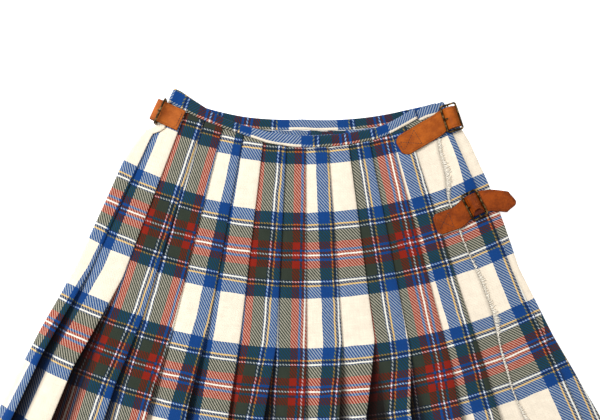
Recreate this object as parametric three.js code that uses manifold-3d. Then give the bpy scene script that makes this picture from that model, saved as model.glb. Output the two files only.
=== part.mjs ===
// A knife-pleated wrap skirt of checked wool, laid flat with its waist away from the viewer.
// Millimetres, +Z up off the table, +X across the front, +Y towards the waist.
// The skirt is drawn as a fan: a radius from the fan's apex, and an angle from straight down (+ is right).

import * as THREE from 'three';
import { mergeVertices } from 'three/addons/utils/BufferGeometryUtils.js';
import Module from 'manifold-3d';

const wasm = await Module();
wasm.setup();

// Driving dimensions
const hemRadius = 1018;          // apex to hem, 610 below the front waist seam
const clothThickness = 1.0;      // heavy wool twill
const layerPitch = 1.3;          // one pressed layer on the next
const seamGap = 0.3;             // between pieces where they are sewn
const cutGap = 0.6;              // between a panel's top edge and its band
const sideGap = 4;               // between the back and the cloth that rolls round each side
const frameRadius = 714;         // where the open pleats were measured
const openRun = 380;             // an open pleat reaches most of its height over this length

// Heights of the middle of the cloth where it lies on the table
const backLevel = clothThickness / 2;
const underLevel = backLevel + 2 * layerPitch + clothThickness + seamGap;
const frontLevel = underLevel + clothThickness + seamGap;

// The front's waist seam and the top of its band, by angle
const frontWaist = [
  { angle: -26, seam: 385, top: 369 },
  { angle: -22, seam: 388, top: 370 },
  { angle: -19, seam: 391, top: 375 },
  { angle: -14.5, seam: 394.5, top: 383 },
  { angle: -10, seam: 398.5, top: 388 },
  { angle: -5.6, seam: 404.5, top: 391.5 },
  { angle: -1, seam: 407.5, top: 394 },
  { angle: 6, seam: 408, top: 394.5 },
  { angle: 12, seam: 407, top: 394 },
  { angle: 14, seam: 404.7, top: 392.5 },
  { angle: 19.3, seam: 396.8, top: 384.3 },
  { angle: 20.2, seam: 402, top: 387 },
  { angle: 26, seam: 404, top: 390 },
];

// The same for the under panel, whose band is hidden below the front's but for its right end
const underWaist = [
  { angle: -26, seam: 402, top: 390 },
  { angle: 12, seam: 406.5, top: 394.5 },
  { angle: 17, seam: 402, top: 389 },
  { angle: 21, seam: 399, top: 386.5 },
  { angle: 26, seam: 402.5, top: 390 },
];

// The back's waist seam and the top of its band, by angle
const backWaist = [
  { angle: -26, seam: 385, top: 371 },
  { angle: -17, seam: 391, top: 378 },
  { angle: -10, seam: 389.5, top: 377.5 },
  { angle: 0, seam: 386.5, top: 374.5 },
  { angle: 8, seam: 390, top: 378 },
  { angle: 18, seam: 395, top: 382.5 },
  { angle: 26, seam: 403, top: 389 },
];

// The side folds and the apron's cut edge, by radius
const edges = [
  { radius: 385, left: -23.35, right: 24.2, apron: 21.2 },
  { radius: 420, left: -23.45, right: 24.7, apron: 21.3 },
  { radius: 432, left: -24.5, right: 24.9, apron: 20.9 },
  { radius: 443, left: -25.0, right: 24.95, apron: 20.6 },
  { radius: 467, left: -25.35, right: 24.8, apron: 20.3 },
  { radius: 495, left: -25.25, right: 24.65, apron: 19.4 },
  { radius: 545, left: -25.1, right: 24.5, apron: 19.35 },
  { radius: 596, left: -25.15, right: 23.95, apron: 19.7 },
  { radius: 634, left: -25.25, right: 24.0, apron: 19.65 },
  { radius: 681, left: -25.4, right: 23.95, apron: 19.1 },
  { radius: 722, left: -25.45, right: 24.4, apron: 18.9 },
  { radius: 780, left: -25.5, right: 24.75, apron: 19.2 },
  { radius: 900, left: -25.6, right: 24.9, apron: 19.5 },
  { radius: 1018, left: -25.3, right: 24.7, apron: 19.3 },
];

// The front's pleats from left to right. fold is the angle of the folded edge, opens the radius where its
// stitching ends, lean how far the edge has moved at frameRadius and hemLean at the hem, in degrees, and
// lift its height at the hem.
const frontPleats = [
  { fold: -23.27, opens: 608, lean: -1.2, hemLean: -1.0, lift: 17 },
  { fold: -20.07, opens: 604, lean: -1.2, hemLean: -1.4, lift: 20 },
  { fold: -16.68, opens: 634, lean: -0.5, hemLean: -0.3, lift: 13 },
  { fold: -13.39, opens: 640, lean: -0.3, hemLean: -0.8, lift: 14 },
  { fold: -9.82, opens: 620, lean: -0.5, hemLean: -1.1, lift: 18 },
  { fold: -6.45, opens: 622, lean: -0.2, hemLean: -0.4, lift: 13 },
  { fold: -2.7, opens: 630, lean: -0.8, hemLean: -1.2, lift: 16 },
  { fold: 0.37, opens: 655, lean: -0.2, hemLean: -0.5, lift: 11 },
  { fold: 4.02, opens: 632, lean: -0.8, hemLean: -0.6, lift: 15 },
  { fold: 7.3, opens: 630, lean: -1.7, hemLean: -1.6, lift: 21 },
  { fold: 10.67, opens: 650, lean: -1.1, hemLean: -1.5, lift: 19 },
  { fold: 14.24, opens: 668, lean: -0.3, hemLean: -0.7, lift: 12 },
  { fold: 17.23, opens: 690, lean: -0.1, hemLean: -0.4, lift: 9 },
];

const edgeSide = { left: -24, right: 24, apron: 20.5 };   // roughly where each edge lies

const backPleatCount = 14;
const underPleat = { fold: 23.16, depth: 5, opens: 640, lift: 5 };   // the one that shows beside the apron
const underEnd = -17.5;                            // angle where the under panel ends, below the front
const fringeReach = 9;                             // longest thread of the apron's fringe
const fringeStart = 408;                           // radius where the fringe begins, below the upper strap

// How far down each panel its cross sections lie, as a share of its length
const openRows = [0, 0.053, 0.075, 0.13, 0.24, 0.33, 0.37, 0.41, 0.47, 0.56, 0.68, 0.84, 1];
const flatRows = [0, 0.053, 0.075, 0.13, 0.33, 0.56, 1];

// A pleat's face rises from the fold below it to its own edge: how far along, and how far up
const faceRise = { foot: 0.22, footUp: 0.78, firstFootUp: 0.5, knee: 0.55, kneeUp: 0.97 };
const turnedIn = 0.34;                             // depth of a fold, as a share of the face above it

// Leather and metal
const leather = 1.6;
const strapHalf = 12.7;
const wire = 2.2;
const buckle = { length: 20, width: 33, corner: 3 };
const leftBuckle = { length: 17, width: 32, corner: 3 };
const slot = { length: 6.8, width: 3.4, height: 9 };

const radians = THREE.MathUtils.degToRad;

function column(table, key, value, name) {
  // reads a column of a table, in a straight line between its rows
  const last = table.length - 1;
  if (value <= table[0][key]) return table[0][name];
  if (value >= table[last][key]) return table[last][name];
  const next = table.findIndex((row) => row[key] > value);
  const a = table[next - 1];
  const b = table[next];
  return THREE.MathUtils.lerp(a[name], b[name], (value - a[key]) / (b[key] - a[key]));
}

function fanPoint(radius, angle, z) {
  return new THREE.Vector3(radius * Math.sin(angle), -radius * Math.cos(angle), z);
}

function indexed(points, triangles) {
  const geometry = new THREE.BufferGeometry();
  const flat = points.flatMap((p) => p.toArray());
  geometry.setAttribute('position', new THREE.Float32BufferAttribute(flat, 3));
  geometry.setIndex(triangles);
  return outward(geometry);
}

function outward(geometry) {
  // turns a closed mesh the right way round by the sign of its volume
  const position = geometry.getAttribute('position');
  const index = geometry.getIndex().array;
  const corner = [0, 1, 2].map(() => new THREE.Vector3());
  let volume = 0;
  for (let i = 0; i < index.length; i += 3) {
    corner.forEach((c, k) => c.fromBufferAttribute(position, index[i + k]));
    volume += corner[0].dot(corner[1].clone().cross(corner[2]));
  }
  if (volume < 0) {
    const turned = Array.from(index);
    for (let i = 0; i < turned.length; i += 3) {
      [turned[i], turned[i + 1]] = [turned[i + 1], turned[i]];
    }
    geometry.setIndex(turned);
  }
  geometry.computeVertexNormals();
  return geometry;
}

function wall(upper, lower) {
  // closes two grids of points, one on each face of a sheet, into one solid
  const rows = upper.length;
  const columns = upper[0].length;
  const points = [...upper.flat(), ...lower.flat()];
  const up = (r, c) => r * columns + c;
  const down = (r, c) => rows * columns + r * columns + c;
  const triangles = [];
  const quad = (a, b, c, d) => triangles.push(a, b, c, a, c, d);
  for (let r = 0; r < rows - 1; r++) {
    for (let c = 0; c < columns - 1; c++) {
      quad(up(r, c), up(r, c + 1), up(r + 1, c + 1), up(r + 1, c));
      quad(down(r, c), down(r + 1, c), down(r + 1, c + 1), down(r, c + 1));
    }
    quad(up(r, 0), up(r + 1, 0), down(r + 1, 0), down(r, 0));
    quad(up(r, columns - 1), down(r, columns - 1), down(r + 1, columns - 1), up(r + 1, columns - 1));
  }
  for (let c = 0; c < columns - 1; c++) {
    quad(up(0, c), down(0, c), down(0, c + 1), up(0, c + 1));
    quad(up(rows - 1, c), up(rows - 1, c + 1), down(rows - 1, c + 1), down(rows - 1, c));
  }
  return indexed(points, triangles);
}

function offsetPath(path, distance) {
  // moves a flat path of {x, z} to its left by a distance, with mitred corners
  const directions = path.slice(1).map((p, i) => (
    new THREE.Vector2(p.x - path[i].x, p.z - path[i].z).normalize()
  ));
  return path.map((p, i) => {
    const before = directions[Math.max(i - 1, 0)];
    const after = directions[Math.min(i, directions.length - 1)];
    const middle = before.clone().add(after).normalize();
    const reach = distance / Math.max(middle.dot(before), 0.6);
    return { x: p.x - middle.y * reach, z: p.z + middle.x * reach };
  });
}

function sheet(shares, radiusAt, pathAt, thickness) {
  // lofts a wall through cross sections: pathAt gives the middle of the cloth in one of them as arc and
  // height, from its radius and the arc positions of the side folds and the apron's edge
  const faces = [1, -1].map((side) => shares.map((share) => {
    const nominal = radiusAt(share, 0);
    const edgeAt = (name) => {
      const radius = radiusAt(share, radians(edgeSide[name]));
      return radians(column(edges, 'radius', radius, name)) * nominal;
    };
    return offsetPath(pathAt(nominal, edgeAt), side * thickness / 2).map((p) => {
      const angle = p.x / nominal;
      return fanPoint(radiusAt(share, angle), angle, p.z);
    });
  }));
  return wall(faces[0], faces[1]);
}

function panelRadius(waist, share, angle) {
  const seam = column(waist, 'angle', THREE.MathUtils.radToDeg(angle), 'seam') + cutGap;
  return THREE.MathUtils.lerp(seam, hemRadius, share);
}

function openness(radius, opens) {
  // 0 where a pleat is stitched down, towards 1 at the hem
  return THREE.MathUtils.clamp((radius - opens) / openRun, 0, 1) ** 0.6;
}

function foldAt(pleat, radius, left) {
  // arc position of a pleat's folded edge, and of the line that it was pressed on
  const frameShare = THREE.MathUtils.clamp((radius - pleat.opens) / (frameRadius - pleat.opens), 0, 1);
  const hemShare = THREE.MathUtils.smoothstep(radius, frameRadius, hemRadius);
  const lean = THREE.MathUtils.lerp(pleat.lean * frameShare, pleat.hemLean, hemShare);
  const pressed = Math.max(radians(pleat.fold) * radius, left + 10);
  return { edge: pressed + radians(lean) * radius, pressed };
}

function kneeTurn(x, z, side) {
  // three points round a fold, entered at height z, on the side that the cloth turns back from
  const half = layerPitch / 2;
  return [
    { x: x - side * half, z },
    { x, z: z - half },
    { x: x - side * half, z: z - layerPitch },
  ];
}

function leftRollTop(radius) {
  // height of the cloth where it has come up round the left side fold
  const first = frontPleats[0];
  return frontLevel + 1.8 * layerPitch + 0.45 * first.lift * openness(radius, first.opens);
}

function frontPath(radius, edgeAt) {
  const left = edgeAt('left');
  const rollTop = leftRollTop(radius);
  const roll = (rollTop - backLevel) / 2;
  const path = [{ x: left + roll + 3, z: backLevel }];
  for (const turn of [-90, -140, -180, -220, -270]) {
    const a = radians(turn);
    path.push({ x: left + roll + roll * Math.cos(a), z: backLevel + roll + roll * Math.sin(a) });
  }
  let from = left + roll;
  let low = rollTop;
  frontPleats.forEach((pleat, n) => {
    const { edge, pressed } = foldAt(pleat, radius, left);
    const top = frontLevel + 2 * layerPitch + pleat.lift * openness(radius, pleat.opens);
    const width = edge - from;
    const depth = Math.max(turnedIn * width, 2.2 * layerPitch);
    const footUp = n ? faceRise.footUp : faceRise.firstFootUp;
    path.push({ x: from + faceRise.foot * width, z: THREE.MathUtils.lerp(low, top, footUp) });
    path.push({ x: from + faceRise.knee * width, z: THREE.MathUtils.lerp(low, top, faceRise.kneeUp) });
    path.push(...kneeTurn(edge, top, 1));
    path.push(...kneeTurn(edge - depth, frontLevel + layerPitch, -1));
    path.push({ x: Math.max(pressed, edge + 1) + 0.6, z: frontLevel });
    from = Math.max(pressed, edge + 1) + 0.6;
    low = frontLevel;
  });
  const apron = edgeAt('apron');
  path.push({ x: (from + apron) / 2, z: frontLevel + 0.4 }, { x: apron, z: frontLevel });
  return path;
}

function backPath(radius, edgeAt) {
  // the outer faces of the pleats lie on the table, so this path is the front's turned over
  const left = edgeAt('left');
  const right = edgeAt('right');
  const start = left + (leftRollTop(radius) - backLevel) / 2 + 3 + sideGap;
  const end = right - underRoll(radius) - 3 - sideGap;
  const width = (end - start) / (backPleatCount + 1);
  const high = backLevel + 2 * layerPitch;
  const path = [{ x: start, z: backLevel }];
  for (let n = 1; n <= backPleatCount; n++) {
    const edge = start + n * width;
    const depth = turnedIn * width;
    path.push({ x: edge - layerPitch / 2, z: backLevel }, { x: edge, z: backLevel + layerPitch / 2 });
    path.push({ x: edge - layerPitch / 2, z: backLevel + layerPitch });
    path.push({ x: edge - depth + layerPitch / 2, z: backLevel + layerPitch });
    path.push({ x: edge - depth, z: backLevel + 1.5 * layerPitch });
    path.push({ x: edge - depth + layerPitch / 2, z: high }, { x: edge + 0.6, z: high });
    path.push({ x: edge + 0.3 * width, z: backLevel });
  }
  path.push({ x: end, z: backLevel });
  return path;
}

function underRoll(radius) {
  // radius of the right side fold
  return (underTop(radius) - backLevel) / 2;
}

function underTop(radius) {
  return underLevel + underPleat.lift * openness(radius, underPleat.opens);
}

function underPath(radius, edgeAt) {
  const right = edgeAt('right');
  const fold = Math.min(radians(underPleat.fold) * radius, right - 9);
  const roll = underRoll(radius);
  const top = underTop(radius);
  const lip = top + layerPitch + 0.4;
  const flatEnd = edgeAt('apron') + fringeReach + 1.5;
  const hidden = steps(radians(underEnd) * radius, flatEnd, 24).map((x) => ({ x, z: underLevel }));
  const path = [
    ...hidden,
    { x: Math.max(fold - underPleat.depth, flatEnd + 1), z: THREE.MathUtils.lerp(underLevel, lip, 0.7) },
    { x: fold - 1, z: lip },
    { x: fold, z: lip - 0.5 },
    { x: fold + 1.2, z: top },
  ];
  for (const turn of [80, 40, 0, -40, -90]) {
    const a = radians(turn);
    path.push({ x: right - roll + roll * Math.cos(a), z: backLevel + roll + roll * Math.sin(a) });
  }
  path.push({ x: right - roll - 3, z: backLevel });
  return path;
}

function steps(from, to, count) {
  return Array.from({ length: count + 1 }, (_, i) => THREE.MathUtils.lerp(from, to, i / count));
}

function strapGeometry(stations) {
  // a leather strap through stations of {x, y, z, heading, half}, its flat side following their slope
  const faces = [1, -1].map((side) => stations.map((s, i) => {
    const a = stations[Math.max(i - 1, 0)];
    const b = stations[Math.min(i + 1, stations.length - 1)];
    const forward = new THREE.Vector3(b.x - a.x, b.y - a.y, b.z - a.z).normalize();
    const heading = radians(s.heading);
    const across = new THREE.Vector3(-Math.sin(heading), Math.cos(heading), 0);
    const up = new THREE.Vector3().crossVectors(forward, across).normalize();
    const middle = new THREE.Vector3(s.x, s.y, s.z).addScaledVector(up, side * leather / 2);
    return [-1, 1].map((edge) => middle.clone().addScaledVector(across, edge * s.half));
  }));
  return wall(faces[0], faces[1]);
}

function solid(geometry) {
  const bare = geometry.clone();
  bare.deleteAttribute('normal');
  bare.deleteAttribute('uv');
  const merged = mergeVertices(bare, 1e-4);
  return new wasm.Manifold(new wasm.Mesh({
    numProp: 3,
    vertProperties: new Float32Array(merged.getAttribute('position').array),
    triVerts: new Uint32Array(merged.getIndex().array),
  }));
}

function fromSolid(body) {
  const mesh = body.getMesh();
  const geometry = new THREE.BufferGeometry();
  geometry.setAttribute('position', new THREE.Float32BufferAttribute(mesh.vertProperties, 3));
  geometry.setIndex(Array.from(mesh.triVerts));
  geometry.computeVertexNormals();
  return geometry;
}

function roundedRectangle(length, width, corner, Kind) {
  const x = length / 2;
  const y = width / 2;
  const outline = new Kind();
  outline.moveTo(-x + corner, -y);
  outline.lineTo(x - corner, -y);
  outline.absarc(x - corner, -y + corner, corner, -Math.PI / 2, 0);
  outline.lineTo(x, y - corner);
  outline.absarc(x - corner, y - corner, corner, 0, Math.PI / 2);
  outline.lineTo(-x + corner, y);
  outline.absarc(-x + corner, y - corner, corner, Math.PI / 2, Math.PI);
  outline.lineTo(-x, -y + corner);
  outline.absarc(-x + corner, -y + corner, corner, Math.PI, 1.5 * Math.PI);
  return outline;
}

function buckleGeometry(size) {
  // a rectangular frame of round-edged wire, cast in one with its middle bar
  const bevel = wire * 0.3;
  const outer = { length: size.length - 2 * bevel, width: size.width - 2 * bevel };
  const inner = { length: size.length - 2 * wire + 2 * bevel, width: size.width - 2 * wire + 2 * bevel };
  const outline = roundedRectangle(outer.length, outer.width, size.corner - bevel, THREE.Shape);
  outline.holes.push(roundedRectangle(inner.length, inner.width, 1.2 + bevel, THREE.Path));
  const frame = new THREE.ExtrudeGeometry(outline, {
    depth: wire - 2 * bevel,
    bevelThickness: bevel,
    bevelSize: bevel,
    bevelSegments: 1,
    curveSegments: 3,
  });
  frame.translate(0, 0, bevel - wire / 2);
  const bar = new THREE.CylinderGeometry(wire * 0.42, wire * 0.42, size.width - wire, 8);
  return fromSolid(solid(frame).add(solid(bar)));
}

function prongGeometry(reach, rise) {
  // the tongue, from just clear of the middle bar through the strap's hole to the end bar
  const rest = wire / 2 + seamGap + 0.8;
  const route = new THREE.CatmullRomCurve3([
    new THREE.Vector3(-wire * 0.42 - seamGap - 0.3, 0, 0),
    new THREE.Vector3(-reach * 0.5, 0, rise),
    new THREE.Vector3(-reach + 1.5, 0, rest),
    new THREE.Vector3(-reach - 0.6, 0, rest - 0.1),
  ]);
  const section = new THREE.Shape();
  section.absellipse(0, 0, 0.8, 0.8, 0, 2 * Math.PI);
  return new THREE.ExtrudeGeometry(section, { steps: 8, curveSegments: 4, extrudePath: route });
}

const cloth = new THREE.MeshStandardMaterial({ color: 0x55708f, roughness: 0.95, metalness: 0 });
const creamCloth = new THREE.MeshStandardMaterial({ color: 0xefe6d2, roughness: 0.95, metalness: 0 });
const tanLeather = new THREE.MeshStandardMaterial({ color: 0xa9571c, roughness: 0.5, metalness: 0 });
const antiqueBrass = new THREE.MeshStandardMaterial({ color: 0x6f5c3c, roughness: 0.35, metalness: 1 });

const group = new THREE.Group();

function piece(name, geometry, material) {
  const mesh = new THREE.Mesh(geometry, material);
  mesh.name = name;
  group.add(mesh);
  return mesh;
}

// Cloth panels
const frontRadius = (share, angle) => panelRadius(frontWaist, share, angle);
const backRadius = (share, angle) => panelRadius(backWaist, share, angle);
const underRadius = (share, angle) => panelRadius(underWaist, share, angle);
piece('front_panel', sheet(openRows, frontRadius, frontPath, clothThickness), cloth);
piece('under_panel', sheet(openRows, underRadius, underPath, clothThickness), cloth);
piece('back_panel', sheet(flatRows, backRadius, backPath, clothThickness), cloth);

// Leather straps, laid on the cloth from their sewn ends to the buckles
const upperSeat = { x: 169.5, y: -373.75, z: 10.2, heading: 17.5 };
const lowerSeat = { x: 194.3, y: -473.8, z: 10.2, heading: 26.6 };

const upperStations = [
  { x: 109.4, y: -408.8, z: 10.0, heading: 30.5, half: 6.5 },
  { x: 115.0, y: -405.5, z: 10.0, heading: 30.5, half: 12.7 },
  { x: 128.0, y: -397.8, z: 9.9, heading: 30.5, half: strapHalf },
  { x: 140.0, y: -390.6, z: 9.2, heading: 30, half: strapHalf },
  { x: 152.0, y: -383.4, z: 8.4, heading: 26, half: strapHalf },
];

const lowerStations = [
  { x: 149.4, y: -497.4, z: 9.9, heading: 19, half: 9 },
  { x: 154.5, y: -495.5, z: 9.9, heading: 19, half: 12.2 },
  { x: 166.0, y: -491.4, z: 9.2, heading: 20, half: 12.5 },
  { x: 176.0, y: -487.3, z: 8.5, heading: 22, half: 12.5 },
];

const lowerEnd = [
  { x: 213.5, y: -468.4, z: 7.4, heading: -2, half: 12.2 },
  { x: 224.0, y: -469.0, z: 6.4, heading: -4, half: 12 },
  { x: 232.5, y: -469.8, z: 5.5, heading: -5, half: 11.2 },
  { x: 239.0, y: -470.5, z: 4.8, heading: -6, half: 7.5 },
  { x: 241.8, y: -470.8, z: 4.5, heading: -6, half: 3 },
];

function hump(seat, size, height, turn) {
  // the strap's way through its buckle: under the first bar, over the middle bar and under the last
  const under = -wire / 2 - 2 * seamGap - leather / 2;
  const over = wire / 2 + seamGap + leather / 2 + height;
  const half = size.length / 2 - wire / 2;
  const shape = [
    { along: -half, up: under, turn: 0 },
    { along: -half * 0.8, up: THREE.MathUtils.lerp(under, over, 0.06), turn: 0 },
    { along: -half * 0.52, up: THREE.MathUtils.lerp(under, over, 0.55), turn: 0 },
    { along: -half * 0.26, up: THREE.MathUtils.lerp(under, over, 0.92), turn: 0 },
    { along: 0, up: over, turn: 0 },
    { along: half * 0.26, up: THREE.MathUtils.lerp(under, over, 0.92), turn: 0 },
    { along: half * 0.52, up: THREE.MathUtils.lerp(under, over, 0.55), turn: 0 },
    { along: half * 0.8, up: THREE.MathUtils.lerp(under, over, 0.06), turn: turn * 0.1 },
    { along: half, up: under, turn: turn * 0.5 },
  ];
  const heading = radians(seat.heading);
  return shape.map((s) => ({
    x: seat.x + s.along * Math.cos(heading),
    y: seat.y + s.along * Math.sin(heading),
    z: seat.z + s.up,
    heading: seat.heading + s.turn,
    half: strapHalf - 0.2,
  }));
}

function seated(geometry, seat) {
  // lays a buckle, its tongue or the tongue's hole at its seat
  geometry.rotateZ(radians(seat.heading));
  geometry.translate(seat.x, seat.y, seat.z);
  return geometry;
}

function strapWithHole(stations, seat) {
  const hole = new THREE.BoxGeometry(slot.length, slot.width, slot.height);
  hole.translate(-buckle.length * 0.27, 0, 0);
  return fromSolid(solid(strapGeometry(stations)).subtract(solid(seated(hole, seat))));
}

const upperPath = [...upperStations, ...hump(upperSeat, buckle, 0.6, 0)];
const lowerPath = [...lowerStations, ...hump(lowerSeat, buckle, 4.2, -22), ...lowerEnd];
piece('upper_strap', strapWithHole(upperPath, upperSeat), tanLeather);
piece('lower_strap', strapWithHole(lowerPath, lowerSeat), tanLeather);
piece('upper_buckle', seated(buckleGeometry(buckle), upperSeat), antiqueBrass);
piece('lower_buckle', seated(buckleGeometry(buckle), lowerSeat), antiqueBrass);

// The short strap at the left side, whose buckle stands on its edge against the side fold
const leftStart = { x: -138, y: -377.5, heading: 156 };
const leftPlane = 26.4;                            // sewn end to the middle of the buckle
const leftSeatHeight = 9.3;
const leftProfile = [
  { along: 0, z: 9.9, half: 12.4 },
  { along: 15, z: 9.9, half: 12.6 },
  { along: 20.5, z: 11.2, half: 12.6 },
  { along: 26, z: 12.7, half: 12.6 },
  { along: 31, z: 12.2, half: 12.6 },
  { along: 34.2, z: 9.4, half: 12.6 },
  { along: 33, z: 6.0, half: 12.6 },
  { along: 29.5, z: 5.0, half: 12.6 },
  { along: 26.2, z: 5.3, half: 12.4 },
];

function ribbonGeometry(start, profile) {
  // a strap that turns over its own end, so its section follows the profile instead of the table
  const heading = radians(start.heading);
  const across = new THREE.Vector3(-Math.sin(heading), Math.cos(heading), 0);
  const flat = profile.map((p) => ({ x: p.along, z: p.z }));
  const faces = [1, -1].map((side) => offsetPath(flat, side * leather / 2).map((p, i) => {
    const middle = new THREE.Vector3(
      start.x + p.x * Math.cos(heading),
      start.y + p.x * Math.sin(heading),
      p.z,
    );
    return [-1, 1].map((edge) => middle.clone().addScaledVector(across, edge * profile[i].half));
  }));
  return wall(faces[0], faces[1]);
}

function stood(geometry) {
  // stands a buckle or its tongue on edge at the left side fold, with its end bar up
  const heading = radians(leftStart.heading);
  geometry.rotateY(Math.PI / 2);
  geometry.rotateZ(heading);
  geometry.translate(
    leftStart.x + leftPlane * Math.cos(heading),
    leftStart.y + leftPlane * Math.sin(heading),
    leftSeatHeight,
  );
  return geometry;
}

const leftHole = new THREE.BoxGeometry(slot.length, slot.width, slot.height * 0.6);
leftHole.translate(-leftBuckle.length * 0.2, 0, 1.2);
const leftBody = solid(ribbonGeometry(leftStart, leftProfile)).subtract(solid(stood(leftHole)));
piece('left_strap', fromSolid(leftBody), tanLeather);
piece('left_buckle', stood(buckleGeometry(leftBuckle)), antiqueBrass);
piece('upper_prong', seated(prongGeometry(buckle.length / 2 - wire / 2, 1.6), upperSeat), antiqueBrass);
piece('lower_prong', seated(prongGeometry(buckle.length / 2 - wire / 2, 1.6), lowerSeat), antiqueBrass);
piece('left_prong', stood(prongGeometry(leftBuckle.length / 2 - wire / 2, 2.2)), antiqueBrass);

// Waistbands
const bandThickness = 2.2;
const underBandThickness = 1.2;
const frontBandLevel = frontLevel + 1.15 * layerPitch;
const frontBandEnd = 19.3;
const backBand = { from: -21.6, to: 23.2 };
const bandRows = [0, 1];

function bandRadius(waist, share, angle) {
  const degrees = THREE.MathUtils.radToDeg(angle);
  const top = column(waist, 'angle', degrees, 'top');
  const seam = column(waist, 'angle', degrees, 'seam');
  return THREE.MathUtils.lerp(top, seam, share);
}

function frontBandPath(radius, edgeAt) {
  // comes up round the left side fold and crosses the front to its free end
  const low = bandThickness / 2;
  const left = edgeAt('left');
  const roll = (frontBandLevel - low) / 2;
  const path = [{ x: left + roll + 2.5, z: low }];
  for (const turn of [-90, -135, -180, -225, -270]) {
    const a = radians(turn);
    path.push({ x: left + roll + roll * Math.cos(a), z: low + roll + roll * Math.sin(a) });
  }
  const start = (left + roll) / radius;
  return path.concat(steps(start, radians(frontBandEnd), 26).slice(1).map((a) => (
    { x: a * radius, z: frontBandLevel }
  )));
}

function underBandPath(radius, edgeAt) {
  // crosses below the front's band and goes down round the right side fold
  const low = underBandThickness / 2;
  const right = edgeAt('right');
  const roll = (underLevel - low) / 2;
  const end = (right - roll) / radius;
  const path = steps(radians(underEnd), end, 24).map((a) => ({ x: a * radius, z: underLevel }));
  for (const turn of [40, 0, -40, -90]) {
    const a = radians(turn);
    path.push({ x: right - roll + roll * Math.cos(a), z: low + roll + roll * Math.sin(a) });
  }
  return path;
}

function backBandPath(radius) {
  return steps(radians(backBand.from), radians(backBand.to), 26).map((a) => (
    { x: a * radius, z: backLevel + layerPitch }
  ));
}

const frontBandRadius = (share, angle) => bandRadius(frontWaist, share, angle);
const underBandRadius = (share, angle) => bandRadius(underWaist, share, angle);
const backBandRadius = (share, angle) => bandRadius(backWaist, share, angle);
piece('front_waistband', sheet(bandRows, frontBandRadius, frontBandPath, bandThickness), cloth);
piece('under_waistband', sheet(bandRows, underBandRadius, underBandPath, underBandThickness), cloth);
piece('back_waistband', sheet(bandRows, backBandRadius, backBandPath, bandThickness), cloth);

// The apron's fringe: a narrow strip beside its cut edge, with the threads fused to it
const fringeThreads = 120;
const fringeLevel = underLevel + clothThickness + 0.25;
const stripWidth = 1.8;

function uneven(seed) {
  const wave = Math.sin(seed * 12.9898) * 43758.5453;
  return wave - Math.floor(wave);
}

const apronRows = openRows.map((share) => {
  // the same corners as the panel's own edge, so that the strip keeps its gap all the way
  const edgeRadius = frontRadius(share, radians(edgeSide.apron));
  const angle = radians(column(edges, 'radius', edgeRadius, 'apron'));
  const radius = frontRadius(share, angle);
  const corner = fanPoint(radius, angle, 0);
  return { radius, x: corner.x, y: corner.y };
});

function apronPoint(radius, out, z) {
  const x = column(apronRows, 'radius', radius, 'x');
  const y = column(apronRows, 'radius', radius, 'y');
  const angle = Math.atan2(x, -y);
  return new THREE.Vector3(x + (cutGap + out) * Math.cos(angle), y + (cutGap + out) * Math.sin(angle), z);
}

const stripRows = [fringeStart, ...apronRows.map((row) => row.radius).filter((r) => r > fringeStart + 2)];
stripRows[stripRows.length - 1] -= 1;
const stripFaces = [0.45, -0.45].map((side) => stripRows.map((radius) => (
  [0, stripWidth].map((out) => apronPoint(radius, out, fringeLevel + side))
)));
let fringe = solid(wall(stripFaces[0], stripFaces[1]));
const threads = steps(fringeStart + 2, hemRadius - 4, fringeThreads - 1).map((radius, n) => {
  const length = THREE.MathUtils.lerp(4, fringeReach - stripWidth - cutGap, uneven(n + 1));
  const root = apronPoint(radius, 1.0, fringeLevel);
  const tip = apronPoint(radius + 3 * (uneven(n + 90) - 0.3), stripWidth + length, fringeLevel + 0.1);
  const thread = new THREE.CylinderGeometry(0.22, 0.4, root.distanceTo(tip), 3);
  const turn = new THREE.Quaternion().setFromUnitVectors(
    new THREE.Vector3(0, 1, 0),
    tip.clone().sub(root).normalize(),
  );
  thread.applyQuaternion(turn);
  const middle = root.clone().add(tip).multiplyScalar(0.5);
  thread.translate(middle.x, middle.y, middle.z);
  return solid(thread);
});
fringe = fringe.add(wasm.Manifold.union(threads));
piece('apron_fringe', fromSolid(fringe), creamCloth);

// The origin is on the table, below the middle of the whole skirt
group.updateMatrixWorld(true);
const box = new THREE.Box3().setFromObject(group, true);
group.position.set(-(box.min.x + box.max.x) / 2, -(box.min.y + box.max.y) / 2, -box.min.z);

export default group;
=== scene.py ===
import math

import bmesh
import bpy
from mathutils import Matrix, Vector


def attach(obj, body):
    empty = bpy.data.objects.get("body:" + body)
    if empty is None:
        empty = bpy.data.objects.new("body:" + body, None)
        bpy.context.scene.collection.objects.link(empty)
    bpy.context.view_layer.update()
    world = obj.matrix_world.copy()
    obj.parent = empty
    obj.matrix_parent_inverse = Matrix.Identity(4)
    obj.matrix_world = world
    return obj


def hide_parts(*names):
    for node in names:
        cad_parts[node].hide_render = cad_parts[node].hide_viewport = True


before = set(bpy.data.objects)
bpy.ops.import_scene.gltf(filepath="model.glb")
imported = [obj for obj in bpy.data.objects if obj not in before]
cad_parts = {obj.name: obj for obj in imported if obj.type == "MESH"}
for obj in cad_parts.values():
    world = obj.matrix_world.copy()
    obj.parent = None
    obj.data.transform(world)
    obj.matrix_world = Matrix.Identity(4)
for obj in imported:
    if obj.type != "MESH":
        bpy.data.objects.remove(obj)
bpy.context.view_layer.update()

bpy.ops.object.select_all(action="DESELECT")
bpy.context.scene.view_settings.view_transform = "Standard"
millimetre = 0.001

# The skirt is drawn as a fan: a radius from the fan's apex and an angle from straight down, in mm and radians
fan = {"apexX": 4.83, "apexY": 678.451, "hemRadius": 1018.0}


def fanPoint(radius, angle, z):
    return Vector((fan["apexX"] + radius * math.sin(angle), fan["apexY"] - radius * math.cos(angle), z))


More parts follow.
